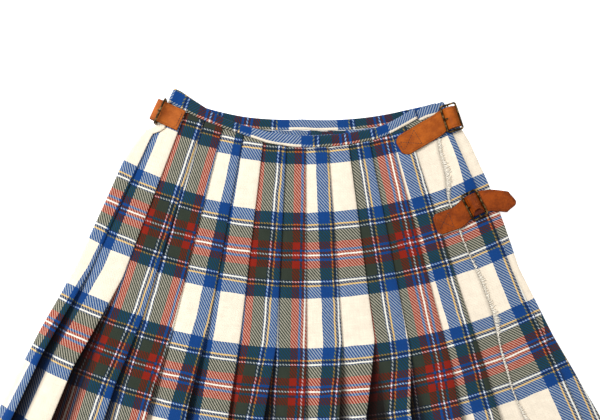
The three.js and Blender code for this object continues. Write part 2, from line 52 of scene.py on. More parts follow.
def column(rows, value, name):
    # a column of a table whose rows start with their key, in a straight line between rows
    index = rows[0].index(name)
    table = rows[1:]
    if value <= table[0][0]:
        return table[0][index]
    for low, high in zip(table, table[1:]):
        if value < high[0]:
            return low[index] + (high[index] - low[index]) * (value - low[0]) / (high[0] - low[0])
    return table[-1][index]


def lerp(a, b, t):
    return a + (b - a) * t


def clamp(value, low=0.0, high=1.0):
    return max(low, min(high, value))


def smooth(value, low, high):
    t = clamp((value - low) / (high - low))
    return t * t * (3 - 2 * t)


def shareSteps(count):
    return [i / count for i in range(count + 1)]


def uneven(seed):
    # a number from 0 to 1 that differs from seed to seed and stays the same for each
    wave = math.sin(seed * 12.9898) * 43758.5453
    return wave - math.floor(wave)


# Camera at the photograph's angle: nearly straight down, leaning from the hem's side
view = {
    "aimX": 1.78, "aimY": 199.0, "aimZ": 8.0, "distance": 1440.0, "lean": 6.0,
    "focalPixels": 1272.0, "frameWidth": 600, "sensor": 36.0,
}

cameraData = bpy.data.cameras.new("camera")
cameraData.sensor_width = view["sensor"]
cameraData.lens = cameraData.sensor_width * view["focalPixels"] / view["frameWidth"]
cameraData.clip_end = 20.0
camera = bpy.data.objects.new("camera", cameraData)
bpy.context.scene.collection.objects.link(camera)
lean = math.radians(view["lean"])
camera.location = Vector((
    view["aimX"],
    view["aimY"] - view["distance"] * math.sin(lean),
    view["aimZ"] + view["distance"] * math.cos(lean),
)) * millimetre
camera.rotation_euler = (lean, 0, 0)
bpy.context.scene.camera = camera
print("camera done")


class Value:
    # a shader socket that takes Python's operators
    def __init__(self, tree, socket):
        self.tree = tree
        self.socket = socket

    def maths(self, operation, *others):
        node = self.tree.nodes.new("ShaderNodeMath")
        node.operation = operation
        for slot, item in enumerate((self,) + others):
            if isinstance(item, Value):
                self.tree.links.new(item.socket, node.inputs[slot])
            else:
                node.inputs[slot].default_value = item
        return Value(self.tree, node.outputs[0])

    def flip(self, operation, other):
        node = self.tree.nodes.new("ShaderNodeMath")
        node.operation = operation
        node.inputs[0].default_value = other
        self.tree.links.new(self.socket, node.inputs[1])
        return Value(self.tree, node.outputs[0])

    def __add__(self, other):
        return self.maths("ADD", other)

    __radd__ = __add__

    def __sub__(self, other):
        return self.maths("SUBTRACT", other)

    def __rsub__(self, other):
        return self.flip("SUBTRACT", other)

    def __mul__(self, other):
        return self.maths("MULTIPLY", other)

    def __truediv__(self, other):
        return self.maths("DIVIDE", other)

    def __abs__(self):
        return self.maths("ABSOLUTE")

    def wrap(self, period):
        # 0 to the period, over and over
        return self.maths("FLOORED_MODULO", period)

    def step(self, low, high):
        # 0 below low, 1 above high, smooth between
        node = self.tree.nodes.new("ShaderNodeMapRange")
        node.interpolation_type = "SMOOTHSTEP"
        self.tree.links.new(self.socket, node.inputs["Value"])
        node.inputs["From Min"].default_value = low
        node.inputs["From Max"].default_value = high
        return Value(self.tree, node.outputs["Result"])


class Finish:
    # a material under construction
    def __init__(self, name, **sockets):
        self.material = bpy.data.materials.new(name)
        self.material.use_nodes = True
        self.tree = self.material.node_tree
        self.shader = self.tree.nodes["Principled BSDF"]
        for key, value in sockets.items():
            self.shader.inputs[key.replace("_", " ")].default_value = value

    def node(self, kind, settings=None, outlet=0, **sockets):
        made = self.tree.nodes.new(kind)
        for key, value in (settings or {}).items():
            if key == "hardStops":
                self.fillRamp(made.color_ramp, value)
            else:
                setattr(made, key, value)
        for key, value in sockets.items():
            numbered = key[0] == "i" and key[1:].isdigit()
            inlet = made.inputs[int(key[1:]) if numbered else key.replace("_", " ")]
            if isinstance(value, Value):
                self.tree.links.new(value.socket, inlet)
            else:
                inlet.default_value = value
        return Value(self.tree, made.outputs[outlet])

    def fillRamp(self, ramp, stops):
        ramp.interpolation = "CONSTANT"
        while len(ramp.elements) < len(stops):
            ramp.elements.new(1.0)
        for element, (place, colour) in zip(ramp.elements, stops):
            element.position = place
            element.color = (*colour, 1)

    def mix(self, factor, a, b, blend="MIX"):
        settings = {"data_type": "RGBA", "blend_type": blend}
        return self.node("ShaderNodeMix", settings, 2, i0=factor, i6=asColour(a), i7=asColour(b))

    def feed(self, **sockets):
        for key, value in sockets.items():
            self.tree.links.new(value.socket, self.shader.inputs[key.replace("_", " ")])

    def bump(self, height, distance, strength=1.0):
        normal = self.node("ShaderNodeBump", Height=height, Distance=distance, Strength=strength)
        self.feed(Normal=normal)

    def place(self):
        return self.node("ShaderNodeTexCoord", outlet=3)

    def uvMap(self, name):
        # the map as a vector, then its two coordinates
        uv = self.node("ShaderNodeUVMap", {"uv_map": name})
        split = self.tree.nodes.new("ShaderNodeSeparateXYZ")
        self.tree.links.new(uv.socket, split.inputs[0])
        return uv, Value(self.tree, split.outputs[0]), Value(self.tree, split.outputs[1])


def asColour(value):
    return value if isinstance(value, Value) else (*value, 1)


def linear(red, green, blue):
    # 0 to 255 as seen on a screen, to the shader's own scale
    shares = (c / 255 for c in (red, green, blue))
    return tuple(((s + 0.055) / 1.055) ** 2.4 if s > 0.0404 else s / 12.92 for s in shares)


def asSeen(red, green, blue):
    # kept on the eye's own scale, on which yarns of two colours blend; a Gamma node follows
    return (red / 255, green / 255, blue / 255)


def addPiece(name, mesh, material):
    # puts a finished mesh in the scene: smooth, with its one material, riding on the part's body
    for polygon in mesh.polygons:
        polygon.use_smooth = True
    mesh.materials.append(material)
    piece = bpy.data.objects.new(name, mesh)
    bpy.context.scene.collection.objects.link(piece)
    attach(piece, "root")
    return piece


def joinRings(mesh, rings):
    # a closed tube through rings of corners
    size = len(rings[0])
    for low, high in zip(rings, rings[1:]):
        for k in range(size):
            mesh.faces.new((low[k], low[(k + 1) % size], high[(k + 1) % size], high[k]))
    mesh.faces.new(rings[0][::-1])
    mesh.faces.new(rings[-1])


def closedMesh(name, corners):
    # the mesh that was drawn in corners, with every face outward
    bmesh.ops.recalc_face_normals(corners, faces=corners.faces)
    mesh = bpy.data.meshes.new(name)
    corners.to_mesh(mesh)
    corners.free()
    return mesh


# The check: half of one repeat, from the middle of the cream to the white line that it mirrors about
sett = {
    "half": 76.2,
    "stripes": [
        (0, "cream"), (27.6, "blue"), (40.6, "yellow"), (42.5, "navy"), (45.4, "white"), (47.1, "navy"),
        (48.3, "green"), (61.1, "red"), (69.4, "blue"), (72.2, "red"), (75.2, "white"),
    ],
    "cream": asSeen(246, 232, 210),
    "blue": asSeen(18, 64, 125),
    "yellow": asSeen(202, 158, 78),
    "navy": asSeen(14, 36, 72),
    "white": asSeen(232, 238, 248),
    "green": asSeen(50, 57, 48),
    "red": asSeen(134, 35, 21),
    "twill": 3.3,
    "steep": 0.8,
    "broken": 2.1,
    # how far the painted shade deep in the pleats darkens the cloth
    "paintedShadeMost": 0.8,
    "ridge": 0.84,
    "weftShows": (0.22, 0.78),
    "waver": 1.6,
    "streak": (1.4, 0.05),
    "yarnShare": 0.35,
    "yarn": (0.72, 1.2),
    "fuzz": 0.9,
    "nap": (0.93, 1.05),
    "relief": 0.0006,
    # the colour of the painted shade deep in the pleats
    "paintedShadeColour": (0.07, 0.04, 0.04),
    "shaded": 0.4,
}


def grey(value):
    return (value, value, value)


def spun(finish, colour, uv, x, y):
    # single yarns along their run, a little lighter and darker
    place = finish.node("ShaderNodeMapping", Vector=uv, Scale=(x, y, 1.0))
    streak = finish.node("ShaderNodeTexNoise", {"noise_dimensions": "2D"}, Vector=place, Scale=1.0)
    shade = finish.mix(streak, *(grey(value) for value in sett["yarn"]))
    return finish.mix(sett["yarnShare"], colour, finish.mix(1.0, colour, shade, "MULTIPLY"))


def tartanFinish(name, inside=False):
    finish = Finish(name, Roughness=0.92, Sheen_Weight=0.08, Sheen_Roughness=0.6, Specular_IOR_Level=0.1)
    uv, across, along = finish.uvMap("cloth")
    waver = finish.node("ShaderNodeTexNoise", Vector=uv, Scale=0.05, Detail=1.0)
    stops = [(start / sett["half"], sett[colour]) for start, colour in sett["stripes"]]

    def stripe(place):
        shifted = place + (waver - 0.5) * sett["waver"] + sett["half"]
        distance = abs(shifted.wrap(2 * sett["half"]) - sett["half"])
        return finish.node("ShaderNodeValToRGB", {"hardStops": stops}, Fac=distance / sett["half"])

    warp = spun(finish, stripe(across), uv, *sett["streak"])
    weft = spun(finish, stripe(along), uv, *reversed(sett["streak"]))
    fuzz = finish.node("ShaderNodeTexNoise", Vector=uv, Scale=0.9, Detail=3.0)
    slope = sett["steep"] if inside else -sett["steep"]
    diagonal = across + along * slope + (fuzz - 0.5) * sett["fuzz"]
    ridge = abs((diagonal / sett["twill"]).wrap(1.0) - 0.5) * 2
    floats = abs(((across - along * slope) / sett["broken"]).wrap(1.0) - 0.5) * 2
    wave = ridge * sett["ridge"] + floats * (1 - sett["ridge"])
    colour = finish.mix(wave.step(*sett["weftShows"]), warp, weft)
    # where the two yarns cross the darker colour is mixed in: partly the darker yarn showing more, partly
    # painted shade between the yarns
    colour = finish.mix(sett["shaded"], colour, finish.mix(1.0, warp, weft, "DARKEN"))
    nap = finish.node("ShaderNodeTexNoise", Vector=uv, Scale=0.11, Detail=3.0)
    colour = finish.mix(1.0, colour, finish.mix(nap, *(grey(value) for value in sett["nap"])), "MULTIPLY")
    # painted shade: deep in the pleats little light reaches the cloth, so there its colour is darkened by the
    # 'depth' attribute
    deep = finish.node("ShaderNodeAttribute", {"attribute_name": "depth"}, 2)
    colour = finish.mix(deep * sett["paintedShadeMost"], colour, sett["paintedShadeColour"])
    finish.feed(Base_Color=finish.node("ShaderNodeGamma", Color=colour, Gamma=2.2))
    finish.bump(wave * 0.6 + fuzz * 0.8, sett["relief"], 0.5)
    return finish.material


checkedWool = tartanFinish("checked_wool")
checkedWoolInside = tartanFinish("checked_wool_inside", inside=True)
print("cloth finish done")

# Waist lines of the three layers: the radius of the band's top and of its seam, by angle in degrees
frontWaist = [
    ("angle", "seam", "top"),
    (-26, 385, 369), (-22, 388, 370), (-19, 391, 375), (-14.5, 394.5, 383), (-10, 398.5, 388),
    (-5.6, 404.5, 391.5), (-1, 407.5, 394), (6, 408, 394.5), (12, 407, 394), (14, 404.7, 392.5),
    (19.3, 396.8, 384.3), (20.2, 402, 387), (26, 404, 390),
]
underWaist = [
    ("angle", "seam", "top"),
    (-26, 402, 390), (12, 406.5, 394.5), (17, 402, 389), (21, 399, 386.5), (26, 402.5, 390),
]
backWaist = [
    ("angle", "seam", "top"),
    (-26, 385, 371), (-17, 391, 378), (-10, 389.5, 377.5), (0, 386.5, 374.5), (8, 390, 378),
    (18, 395, 382.5), (26, 403, 389),
]

# The side folds and the apron's cut edge in degrees, by radius
edges = [
    ("radius", "left", "right", "apron"),
    (385, -23.4, 24.3, 21.2), (418, -23.6, 25.0, 21.3), (427, -24.8, 25.2, 21.1),
    (443, -25.35, 25.4, 20.6), (467, -25.75, 25.3, 20.3), (495, -25.6, 25.2, 19.4),
    (545, -25.4, 24.75, 19.35), (596, -25.25, 24.15, 19.7), (634, -25.35, 24.25, 19.65),
    (681, -25.6, 24.35, 19.1), (722, -25.65, 24.65, 18.9), (780, -25.7, 25.0, 19.2),
    (900, -25.8, 25.15, 19.5), (1018, -25.5, 24.95, 19.3),
]
# roughly where each of these edges lies at the waist, to read its waist line there
edgeSide = {"left": -24.0, "right": 24.0, "apron": 20.5}

# The front's pleats from left to right, in degrees and mm: the folded edge's angle, the radius where its
# stitching ends, how far it has moved at the photograph's lower edge and at the hem, its rise at the hem, and
# for the strip of check to its left where the strip's middle lies across the check and how far down it is moved
pleats = [
    {"fold": -23.6, "opens": 608, "lean": -0.75, "hemLean": -0.6, "lift": 17, "check": 14.5, "drop": 14},
    {"fold": -20.07, "opens": 604, "lean": -1.2, "hemLean": -1.4, "lift": 20, "check": 130.5, "drop": 12},
    {"fold": -16.68, "opens": 634, "lean": -0.5, "hemLean": -0.3, "lift": 13, "check": 250.6, "drop": 9},
    {"fold": -13.39, "opens": 640, "lean": -0.3, "hemLean": -0.8, "lift": 14, "check": 362.9, "drop": 6},
    {"fold": -9.82, "opens": 620, "lean": -0.5, "hemLean": -1.1, "lift": 18, "check": 481.2, "drop": 3},
    {"fold": -6.45, "opens": 622, "lean": -0.2, "hemLean": -0.4, "lift": 13, "check": 592.5, "drop": 1},
    {"fold": -2.7, "opens": 630, "lean": -0.8, "hemLean": -1.2, "lift": 16, "check": 709.8, "drop": 0},
    {"fold": 0.37, "opens": 655, "lean": -0.2, "hemLean": -0.5, "lift": 11, "check": 824.1, "drop": 0},
    {"fold": 4.02, "opens": 632, "lean": -0.8, "hemLean": -0.6, "lift": 15, "check": 943.4, "drop": 0},
    {"fold": 7.3, "opens": 630, "lean": -1.7, "hemLean": -1.6, "lift": 21, "check": 1058.7, "drop": 0},
    {"fold": 10.67, "opens": 650, "lean": -1.1, "hemLean": -1.5, "lift": 19, "check": 1174, "drop": 0},
    {"fold": 14.24, "opens": 668, "lean": -0.3, "hemLean": -0.7, "lift": 12, "check": 1288.3, "drop": 0},
    {"fold": 17.23, "opens": 690, "lean": -0.1, "hemLean": -0.4, "lift": 9, "check": 1407.6, "drop": 0},
]
apronStrip = {"middle": 18.92, "check": 1523.9, "drop": 0}
pleatTurn = 3.375          # degrees from one fold to the next
creamMiddle = 454.8        # radius of the first whole cream stripe's middle

layers = {
    "pitch": 1.3, "cutGap": 0.6, "sideGap": 4.0, "frameRadius": 714.0, "openRun": 380.0,
    "back": 0.5, "under": 4.4, "front": 5.7, "backPleats": 14,
    "underFold": 23.55, "underDepth": 5.0, "underEnd": -17.5, "underOpens": 640.0, "underLift": 5.0,
    "fringeRoom": 9.0, "lowest": 0.02, "openPower": 0.6, "firstRoom": 10, "rollLayers": 1.8, "rollLift": 0.45,
}
clothThick = {"panel": 0.9, "underBand": 1.1, "backBand": 2.0}

# A pleat's face rises from the fold below it to its own edge: how far along, and how far up
faceRise = {
    "toe": 0.07, "toeUp": 0.4, "foot": 0.22, "footUp": 0.78, "firstFootUp": 0.5, "knee": 0.55, "kneeUp": 0.97,
    "turnedIn": 0.34, "leastLayers": 2.2,
}

# How fast the painted shade deepens as a pleat opens, in mm of opening
openingShade = {"closed": 1.6, "faceRun": 24, "besideRun": 7}


def panelRadius(waist):
    def radiusAt(share, angle):
        seam = column(waist, math.degrees(angle), "seam") + layers["cutGap"]
        return lerp(seam, fan["hemRadius"], share)
    return radiusAt


def bandRadius(waist):
    def radiusAt(share, angle):
        degrees = math.degrees(angle)
        return lerp(column(waist, degrees, "top"), column(waist, degrees, "seam"), share)
    return radiusAt


def openness(radius, opens):
    return clamp((radius - opens) / layers["openRun"]) ** layers["openPower"]


def foldAt(pleat, radius, left):
    frameShare = clamp((radius - pleat["opens"]) / (layers["frameRadius"] - pleat["opens"]))
    hemShare = smooth(radius, layers["frameRadius"], fan["hemRadius"])
    lean = lerp(pleat["lean"] * frameShare, pleat["hemLean"], hemShare)
    pressed = max(math.radians(pleat["fold"]) * radius, left + layers["firstRoom"])
    return pressed + math.radians(lean) * radius, pressed


def kneeTurn(x, z, side):
    half = layers["pitch"] / 2
    return [(x - side * half, z), (x, z - half), (x - side * half, z - 2 * half)]


def sideRoll(centre, low, radius, turns):
    return [(centre + radius * math.cos(math.radians(t)), low + radius + radius * math.sin(math.radians(t)))
            for t in turns]


def rollTop(radius):
    first = pleats[0]
    rise = layers["rollLift"] * first["lift"] * openness(radius, first["opens"])
    return layers["front"] + layers["rollLayers"] * layers["pitch"] + rise


def frontPath(radius, edgeAt):
    # the middle of the cloth in one cross section: (arc, height, painted shade) and what each stretch belongs
    # to
    left = edgeAt("left")
    top = rollTop(radius)
    roll = (top - layers["back"]) / 2
    path = [(left + roll + 3, layers["back"])]
    path += sideRoll(left + roll, layers["back"], roll, (-90, -125, -160, -200, -235, -270))
    owner = [("face", 0)] * (len(path) - 1)
    start, low, dark = left + roll, top, 0.0
    for n, pleat in enumerate(pleats):
        edge, pressed = foldAt(pleat, radius, left)
        high = layers["front"] + 2 * layers["pitch"] + pleat["lift"] * openness(radius, pleat["opens"])
        width = edge - start
        depth = max(faceRise["turnedIn"] * width, faceRise["leastLayers"] * layers["pitch"])
        if n:
            path.append((start + faceRise["toe"] * width, lerp(low, high, faceRise["toeUp"]), 0.5 * dark))
            owner.append(("face", n))
        footUp = faceRise["footUp" if n else "firstFootUp"]
        path.append((start + faceRise["foot"] * width, lerp(low, high, footUp)))
        path.append((start + faceRise["knee"] * width, lerp(low, high, faceRise["kneeUp"])))
        path += kneeTurn(edge, high, 1)
        owner += [("face", n)] * 4 + [("return", n)]
        # the turned-in cloth under the fold takes full painted shade
        path += [(x, z, 1.0) for x, z in kneeTurn(edge - depth, layers["front"] + layers["pitch"], -1)]
        owner += [("return", n)] * 2 + [("face", n + 1)]
        start = max(pressed, edge + 1) + 0.6
        # painted shade beside an opening pleat: the cloth just past the fold and along the next face darkens,
        # more the wider it opens
        opening = start - edge - openingShade["closed"]
        dark = clamp(0.02 + opening / openingShade["faceRun"])
        beside = clamp(0.05 + opening / openingShade["besideRun"])
        path += [(edge - 0.5, layers["front"] + 0.25, beside), (start, layers["front"], dark)]
        owner += [("face", n + 1)] * 2
        low = layers["front"]
    apron = edgeAt("apron")
    path += [((start + apron) / 2, layers["front"] + 0.5), (apron, layers["front"] + 0.5)]
    owner += [("face", len(pleats))] * 2
    return path, owner


def underTop(radius):
    return layers["under"] + layers["underLift"] * openness(radius, layers["underOpens"])


def underPath(radius, edgeAt):
    right = edgeAt("right")
    fold = min(math.radians(layers["underFold"]) * radius, right - 9)
    top = underTop(radius)
    roll = (top - layers["back"]) / 2
    lip = top + layers["pitch"] + 0.4
    apron = edgeAt("apron")
    flatEnd = apron + layers["fringeRoom"] + 1.5
    first = math.radians(layers["underEnd"]) * radius
    path = [(lerp(first, apron - 3, share), layers["under"]) for share in shareSteps(36)]
    path += [
        # painted shadow of the apron's raised edge on the under panel just beside it
        (apron + 1, layers["under"], 0.18), (apron + 2.6, layers["under"], 0.12),
        (apron + 6, layers["under"]), (flatEnd, layers["under"]),
        (max(fold - layers["underDepth"], flatEnd + 1), lerp(layers["under"], lip, 0.7)),
        (fold - 1, lip), (fold, lip - 0.5), (fold + 1.2, top),
    ]
    owner = [("apron", 0)] * (len(path) - 2) + [("side", 0)]
    path += sideRoll(right - roll, layers["back"], roll, (80, 40, 0, -40, -90))
    path.append((right - roll - 3, layers["back"]))
    owner += [("side", 0)] * 6
    return path, owner


def backPath(radius, edgeAt):
    left, right = edgeAt("left"), edgeAt("right")
    start = left + (rollTop(radius) - layers["back"]) / 2 + 3 + layers["sideGap"]
    end = right - (underTop(radius) - layers["back"]) / 2 - 3 - layers["sideGap"]
    width = (end - start) / (layers["backPleats"] + 1)
    pitch, low = layers["pitch"], layers["back"]
    high = low + 2 * pitch
    path = [(start, low)]
    owner = []
    for n in range(1, layers["backPleats"] + 1):
        edge = start + n * width
        depth = faceRise["turnedIn"] * width
        path += [(edge - pitch / 2, low), (edge, low + pitch / 2), (edge - pitch / 2, low + pitch)]
        path += [(edge - depth + pitch / 2, low + pitch), (edge - depth, low + 1.5 * pitch)]
        path += [(edge - depth + pitch / 2, high), (edge + 0.6, high), (edge + 0.3 * width, low)]
        owner += [("back", n - 1)] * 5 + [("back", n)] * 3
    path.append((end, low))
    owner.append(("back", layers["backPleats"]))
    return path, owner


def stripMiddle(n):
    # the angle of the middle of a strip of check, and where that lies in the check
    if n == len(pleats):
        return apronStrip["middle"], apronStrip["check"], apronStrip["drop"]
    before = pleats[n - 1]["fold"] if n else pleats[0]["fold"] - pleatTurn
    return (before + pleats[n]["fold"]) / 2, pleats[n]["check"], pleats[n]["drop"]


# Where the under panel's two stretches lie across the check at their upper and lower ends, in mm, and the
# radii between which that changes; below the upper strap both hang a little askew
underCheck = {
    "apron": {"upper": 43.4, "lower": 48.5, "from": 480, "to": 640},
    "side": {"upper": 4, "lower": 30, "from": 560, "to": 720},
}
askew = {"shift": 10, "from": 440, "to": 520}
backCheck = {"turn": 3.1, "first": 60, "pitch": 114.3, "drop": 31}


def clothAt(radius, angle, owner, context):
    # where a point of the cloth lies in the check, in mm across and down it
    kind, n = owner
    if kind in ("face", "return"):
        middle, check, drop = stripMiddle(n)
        unfolded = angle if kind == "face" else 2 * context["folds"][n] - angle
        turn = unfolded - math.radians(middle) - (context["leans"][n] if n < len(pleats) else 0)
        return check + radius * math.sin(turn), radius * math.cos(turn) - creamMiddle + drop
    if kind in underCheck:
        place = underCheck[kind]
        turn = angle - math.radians(layers["underFold"])
        across = lerp(place["upper"], place["lower"], smooth(radius, place["from"], place["to"]))
        across -= askew["shift"] * (1 - smooth(radius, askew["from"], askew["to"]))
        return across + radius * turn, radius * math.cos(turn) - creamMiddle
    turn = angle - (n - layers["backPleats"] / 2) * math.radians(backCheck["turn"])
    across = backCheck["first"] - backCheck["pitch"] * n + radius * turn
    return across, radius * math.cos(turn) - creamMiddle + backCheck["drop"]


def splinePoint(a, b, c, d, t):
    # a centripetal curve through b and c
    def gap(p, q):
        return max(math.hypot(q[0] - p[0], q[1] - p[1]), 1e-6) ** 0.5
    t0, t1 = 0.0, gap(a, b)
    t2 = t1 + gap(b, c)
    t3 = t2 + gap(c, d)
    s = lerp(t1, t2, t)

    def blend(p, q, low, high):
        k = (s - low) / (high - low)
        return (lerp(p[0], q[0], k), lerp(p[1], q[1], k))
    a1, a2, a3 = blend(a, b, t0, t1), blend(b, c, t1, t2), blend(c, d, t2, t3)
    b1, b2 = blend(a1, a2, t0, t2), blend(a2, a3, t1, t3)
    return blend(b1, b2, t1, t2)


def curved(path, owner, cuts):
    # rounds a path through its own points, with the same number of points in every cross section
    padded = [(2 * path[0][0] - path[1][0], 2 * path[0][1] - path[1][1])] + path
    padded.append((2 * path[-1][0] - path[-2][0], 2 * path[-1][1] - path[-2][1]))
    shades = [point[2] if len(point) > 2 else 0.0 for point in path]
    points, owners, shading = [path[0][:2]], [], [shades[0]]
    for i, held in enumerate(owner):
        for k in range(1, cuts + 1):
            points.append(splinePoint(*padded[i:i + 4], k / cuts))
            owners.append(held)
            shading.append(lerp(shades[i], shades[i + 1], k / cuts))
    return points, owners, shading


def offsetPath(path, distance):
    moved = []
    last = len(path) - 1
    for i, (x, z) in enumerate(path):
        before = path[max(i - 1, 0)]
        after = path[min(i + 1, last)]
        dx, dz = after[0] - before[0], after[1] - before[1]
        length = math.hypot(dx, dz)
        moved.append((x - dz / length * distance, z + dx / length * distance))
    return moved


def makeCloth(name, shares, radiusAt, pathAt, thicknessAt, cuts, checkAt, reliefAt=None, material=None):
    # a thin closed shell: cross sections at shares of the panel's length, through the middle of the cloth
    faces = ([], [])
    contexts, shadeRows = [], []
    for share in shares:
        nominal = radiusAt(share, 0)

        def edgeAt(side):
            radius = radiusAt(share, math.radians(edgeSide[side]))
            return math.radians(column(edges, radius, side)) * nominal
        path, owner = pathAt(nominal, edgeAt)
        left = edgeAt("left")
        context = {"folds": [foldAt(pleat, nominal, left)[0] / nominal for pleat in pleats]}
        context["leans"] = [
            turned - math.radians(pleat["fold"]) for turned, pleat in zip(context["folds"], pleats)
        ]
        points, owners, shading = curved(path, owner, cuts)
        shadeRows.append(shading)
        for side, face in zip((1, -1), faces):
            row = []
            for x, z in offsetPath(points, side * thicknessAt(share) / 2):
                angle = x / nominal
                radius = radiusAt(share, angle)
                point = fanPoint(radius, angle, max(z, layers["lowest"]))
                if reliefAt:
                    point.z += reliefAt(point.x, point.y, z)
                row.append((point, radius, angle))
            face.append(row)
        contexts.append(context)
    rows, columns = len(shares), len(owners) + 1
    mesh = bpy.data.meshes.new(name)
    vertices = [point * millimetre for face in faces for row in face for point, radius, angle in row]
    quads, held = [], []

    def at(face, row, place):
        return face * rows * columns + row * columns + place

    def quad(a, b, c, d, owner):
        quads.append([at(*a), at(*b), at(*c), at(*d)])
        held.append(((a, b, c, d), owner))
    for r in range(rows - 1):
        for c in range(columns - 1):
            quad((0, r + 1, c), (0, r + 1, c + 1), (0, r, c + 1), (0, r, c), owners[c])
            quad((1, r, c), (1, r, c + 1), (1, r + 1, c + 1), (1, r + 1, c), owners[c])
        quad((0, r, 0), (1, r, 0), (1, r + 1, 0), (0, r + 1, 0), owners[0])
        end = columns - 1
        quad((0, r + 1, end), (1, r + 1, end), (1, r, end), (0, r, end), owners[-1])
    for c in range(columns - 1):
        quad((0, 0, c), (0, 0, c + 1), (1, 0, c + 1), (1, 0, c), owners[c])
        low = rows - 1
        quad((1, low, c), (1, low, c + 1), (0, low, c + 1), (0, low, c), owners[c])
    mesh.from_pydata(vertices, [], quads)
    layer = mesh.uv_layers.new(name="cloth")
    loop = 0
    for corners, owner in held:
        for face, row, place in corners:
            point, radius, angle = faces[face][row][place]
            layer.data[loop].uv = checkAt(radius, angle, owner, contexts[row])
            loop += 1
    # painted shade for each point, kept in the 'depth' attribute that darkens the cloth's colour
    depth = mesh.attributes.new("depth", "FLOAT", "POINT")
    depth.data.foreach_set("value", [shade for face in faces for row in shadeRows for shade in row])
    return addPiece(name, mesh, material or checkedWool)


# Soft folds in the cloth: middle, length along the run, width across it, height, heading
creases = [
    (-208, 250, 60, 13, 1.2, -62), (-120, 215, 90, 16, 0.9, -70), (-40, 190, 80, 14, 0.7, -84),
    (52, 205, 70, 15, 0.8, 86), (118, 240, 90, 15, 1.0, 74), (150, 150, 70, 17, 1.1, 68),
    (-255, 40, 110, 18, 1.6, -62), (-150, 20, 120, 22, 1.5, -70), (-20, 35, 100, 20, 1.2, -88),
    (85, 10, 120, 24, 1.6, 78), (190, 60, 100, 20, 1.2, 66), (-300, -90, 140, 26, 2.2, -60),
    (-90, -120, 150, 30, 2.2, -78), (120, -140, 140, 30, 2.0, 76), (235, -110, 130, 26, 1.8, 64),
]
creaseReach = {"run": 1.5, "side": 2.5, "fadeFrom": 3, "fadeRun": 3}


def reliefAt(x, y, z):
    height = 0.0
    for cx, cy, length, width, rise, heading in creases:
        turn = math.radians(heading)
        dx, dy = x - cx, y - cy
        run = dx * math.cos(turn) + dy * math.sin(turn)
        side = -dx * math.sin(turn) + dy * math.cos(turn)
        if abs(run) < length * creaseReach["run"] and abs(side) < width * creaseReach["side"]:
            height += rise * math.exp(-(run / length) ** 2 * 2 - (side / width) ** 2)
    return height * clamp((z - creaseReach["fadeFrom"]) / creaseReach["fadeRun"])


def bandThicknessAt(share):
    return 0.5 + 1.7 * (1 - (2 * share - 1) ** 4)


frontPanel = makeCloth("front_cloth", shareSteps(110), panelRadius(frontWaist), frontPath,
                       lambda share: clothThick["panel"], 3, clothAt, reliefAt)
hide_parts("front_panel")
underPanel = makeCloth("under_cloth", shareSteps(110), panelRadius(underWaist), underPath,
                       lambda share: clothThick["panel"], 2, clothAt)
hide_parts("under_panel")
backPanel = makeCloth("back_cloth", shareSteps(60), panelRadius(backWaist), backPath,
                      lambda share: clothThick["panel"], 2, clothAt)
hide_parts("back_panel")
print("panels done")

bands = {
    "front": 7.195, "frontLow": 1.1, "under": 4.4, "underLow": 0.6, "back": 1.8,
    "frontEnd": 19.3, "backFrom": -21.6, "backTo": 23.2, "waistRadius": 384, "seamCheck": 24.9,
}


def frontBandPath(radius, edgeAt):
    low = bands["frontLow"]
    left = edgeAt("left")
    roll = (bands["front"] - low) / 2
    path = [(left + roll + 2.5, low)] + sideRoll(left + roll, low, roll, (-90, -135, -180, -225, -270))
    start = (left + roll) / radius
    end = math.radians(bands["frontEnd"])
    path += [(lerp(start, end, share) * radius, bands["front"]) for share in shareSteps(40)[1:]]
    return path, [("band", 0)] * (len(path) - 1)


def underBandPath(radius, edgeAt):
    low = bands["underLow"]
    right = edgeAt("right")
    roll = (bands["under"] - low) / 2
    end = (right - roll) / radius
    first = math.radians(layers["underEnd"])
    path = [(lerp(first, end, share) * radius, bands["under"]) for share in shareSteps(40)]
    path += sideRoll(right - roll, low, roll, (40, 0, -40, -90))
    return path, [("band", 0)] * (len(path) - 1)


def backBandPath(radius, edgeAt):
    first, last = math.radians(bands["backFrom"]), math.radians(bands["backTo"])
    path = [(lerp(first, last, share) * radius, bands["back"]) for share in shareSteps(50)]
    return path, [("band", 0)] * (len(path) - 1)


def bandCheck(waist, creamAngle):
    # the bands are cut across the cloth, so the warp's stripes run round the waist
    def checkAt(radius, angle, owner, context):
        seam = column(waist, math.degrees(angle), "seam")
        return (angle - math.radians(creamAngle)) * bands["waistRadius"], bands["seamCheck"] + seam - radius
    return checkAt


frontBand = makeCloth("front_band", shareSteps(8), bandRadius(frontWaist), frontBandPath,
                      bandThicknessAt, 3, bandCheck(frontWaist, -4.4))
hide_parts("front_waistband")
underBand = makeCloth("under_band", shareSteps(8), bandRadius(underWaist), underBandPath,
                      lambda share: clothThick["underBand"], 3, bandCheck(underWaist, 23.6))
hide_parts("under_waistband")
backBand = makeCloth("back_band", shareSteps(8), bandRadius(backWaist), backBandPath,
                     lambda share: clothThick["backBand"], 3, bandCheck(backWaist, 1.8),
                     material=checkedWoolInside)
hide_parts("back_waistband")
print("bands done")

# Leather straps: stations along each one's middle (x, y from the fan's apex, z, heading, half width)
buckle = {"length": 20.0, "wire": 2.2}
leather = {
    "thick": 1.6, "gap": 0.3, "steps": 5, "endThin": 0.6,
    "edge": (74, 30, 8), "groove": (84, 36, 10), "grooveIn": 2.4,
}
upperSeat = {"at": (169.5, -373.75, 10.2), "heading": 17.5}
lowerSeat = {"at": (194.3, -473.8, 10.2), "heading": 26.6}


def wayFrom(start, heading, way):
    # a place some mm from a start, towards a heading in degrees
    turn = math.radians(heading)
    return start[0] + way * math.cos(turn), start[1] + way * math.sin(turn)


